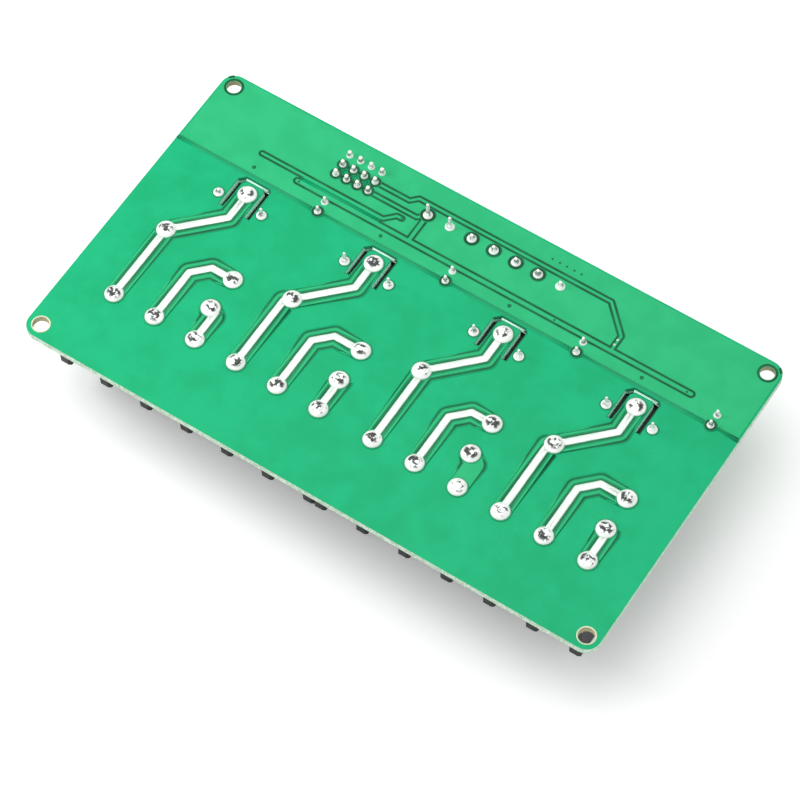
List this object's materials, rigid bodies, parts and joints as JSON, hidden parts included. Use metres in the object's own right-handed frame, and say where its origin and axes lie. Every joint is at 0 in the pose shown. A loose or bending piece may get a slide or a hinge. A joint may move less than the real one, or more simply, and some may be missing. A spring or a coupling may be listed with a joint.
{
  "type": "relay module board",
  "caption": "Green relay circuit board lying on its relays: soldered track side up, barrier terminals along one edge, control inputs along the other.",
  "frame": {"origin": "below the centre of the board outline, on the plane of the relay tops that the module lies on", "axes": "+X along the board, left to right with the power terminals nearest; +Y from the power terminals to the control inputs; +Z out of the solder side"},
  "size_m": [0.129, 0.0716, 0.0256],
  "materials": {
    "laminate": "satin solder mask over glass-epoxy laminate",
    "masked_copper": "copper foil under green solder mask",
    "solder": "bright tin-rich solder",
    "relay_case": "fine satin black",
    "relay_base": "matte black epoxy",
    "copper_alloy_lead": "tinned copper alloy",
    "barrier_plastic": "satin black moulding",
    "plated_steel": "bright zinc plate",
    "tinned_brass": "tinned brass",
    "input_plastic": "satin green moulding",
    "header_plastic": "matte black moulding",
    "gold_pin": "thin gold flash",
    "lamp_resin": "clear tinted resin",
    "chip_resin": "matte black moulding compound"
  },
  "bodies": {
    "root": {"circuit_board": "laminate", "control_pour": "masked_copper", "signal_tracks": "masked_copper", "power_tracks": "masked_copper", "tinned_strips": "solder", "relay_solder": "solder", "barrier_solder": "solder", "input_solder": "solder", "header_solder": "solder", "led_solder": "solder", "relay_1_case": "relay_case", "relay_1_base": "relay_base", "relay_1_leads": "copper_alloy_lead", "relay_2_case": "relay_case", "relay_2_base": "relay_base", "relay_2_leads": "copper_alloy_lead", "relay_3_case": "relay_case", "relay_3_base": "relay_base", "relay_3_leads": "copper_alloy_lead", "relay_4_case": "relay_case", "relay_4_base": "relay_base", "relay_4_leads": "copper_alloy_lead", "barrier_1_housing": "barrier_plastic", "barrier_1_plates": "tinned_brass", "barrier_1_clamps": "plated_steel", "barrier_1_screws": "plated_steel", "barrier_2_housing": "barrier_plastic", "barrier_2_plates": "tinned_brass", "barrier_2_clamps": "plated_steel", "barrier_2_screws": "plated_steel", "input_housing": "input_plastic", "input_cages": "tinned_brass", "input_pins": "tinned_brass", "input_screws": "plated_steel", "header_base": "header_plastic", "header_pins": "gold_pin", "jumper_cap_1": "header_plastic", "jumper_cap_2": "header_plastic", "jumper_cap_3": "header_plastic", "jumper_cap_4": "header_plastic", "led_1_lens": "lamp_resin", "led_2_lens": "lamp_resin", "led_3_lens": "lamp_resin", "led_4_lens": "lamp_resin", "led_leads": "tinned_brass", "optocoupler_1": "chip_resin", "optocoupler_2": "chip_resin", "optocoupler_3": "chip_resin", "optocoupler_4": "chip_resin", "transistor_1": "chip_resin", "transistor_2": "chip_resin", "transistor_3": "chip_resin", "transistor_4": "chip_resin", "flyback_diode_1": "chip_resin", "flyback_diode_2": "chip_resin", "flyback_diode_3": "chip_resin", "flyback_diode_4": "chip_resin", "channel_resistors": "chip_resin", "power_resistor": "chip_resin", "power_led": "lamp_resin"}
  },
  "joints": []
}
